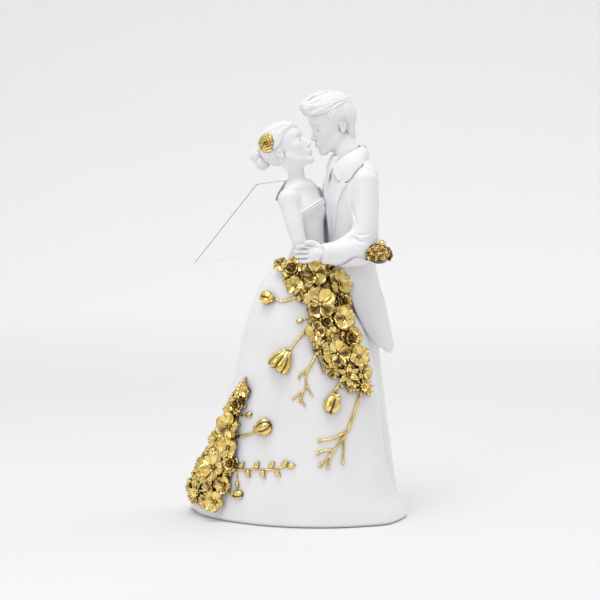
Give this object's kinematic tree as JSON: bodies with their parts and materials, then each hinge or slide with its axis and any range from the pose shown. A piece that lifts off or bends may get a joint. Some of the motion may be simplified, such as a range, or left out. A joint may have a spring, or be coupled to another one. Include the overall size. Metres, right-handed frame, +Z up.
{
  "type": "wedding cake topper",
  "caption": "white resin bride and groom kissing in a standing embrace, gilt flowers trailing over the bell-shaped gown, clear hang tag folded off the bride's back",
  "frame": {"origin": "on the table, at the centre of the felt pad's underside, under the middle of the gown", "axes": "+Z up; -Y toward the side that is looked at; the bride stands toward -X and the groom toward +X"},
  "size_m": [0.1055, 0.0815, 0.2022],
  "materials": {
    "white_resin": "matt white polyresin casting",
    "antique_gold": "antique gold paint over resin, dark in the hollows",
    "felt": "dark grey felt pad",
    "clear_sheet": "clear plastic sheet",
    "grey_tape": "grey adhesive tab"
  },
  "bodies": {
    "figurine": {"base_plate": "white_resin", "bodice_band": "white_resin", "bouquet": "antique_gold", "bride_bodice": "white_resin", "bride_bun": "white_resin", "bride_hair": "white_resin", "bride_head": "white_resin", "bride_left_arm": "white_resin", "bride_right_arm": "white_resin", "felt_pad": "felt", "gown_skirt": "white_resin", "groom_hair": "white_resin", "groom_head": "white_resin", "groom_jacket": "white_resin", "groom_left_hand": "white_resin", "groom_left_shoe": "white_resin", "groom_left_sleeve": "white_resin", "groom_right_hand": "white_resin", "groom_right_shoe": "white_resin", "groom_right_sleeve": "white_resin", "groom_shirt": "white_resin", "groom_trousers": "white_resin", "hair_flower": "antique_gold", "hem_bed": "antique_gold", "hem_blossom_1": "antique_gold", "hem_blossom_2": "antique_gold", "hem_blossom_3": "antique_gold", "hem_branch": "antique_gold", "hem_daisy": "antique_gold", "hem_rose_1": "antique_gold", "hem_rose_2": "antique_gold", "hem_spray": "antique_gold", "hem_sprig_1": "antique_gold", "hem_sprig_2": "antique_gold", "jacket_collar": "white_resin", "left_lapel": "white_resin", "left_tail": "white_resin", "right_lapel": "white_resin", "right_tail": "white_resin", "tag_tab": "grey_tape", "waist_bed": "antique_gold", "waist_blossom_1": "antique_gold", "waist_blossom_2": "antique_gold", "waist_blossom_3": "antique_gold", "waist_blossom_4": "antique_gold", "waist_blossom_5": "antique_gold", "waist_blossom_6": "antique_gold", "waist_blossom_7": "antique_gold", "waist_branch": "antique_gold", "waist_bud": "antique_gold", "waist_daisy": "antique_gold", "waist_lily": "antique_gold", "waist_pansy": "antique_gold", "waist_rose_1": "antique_gold", "waist_rose_2": "antique_gold", "waist_sprig_1": "antique_gold", "waist_sprig_2": "antique_gold", "waist_sprig_3": "antique_gold", "waist_twig": "antique_gold"},
    "tag": {"clear_tag": "clear_sheet"}
  },
  "joints": [
    {"name": "tag_fold", "type": "hinge", "parent": "figurine", "child": "tag", "pos_m": [-0.006, 0.0052, 0.159], "axis": [0.6794, 0.7286, 0.0872], "range_deg": [-12, 40]}
  ]
}
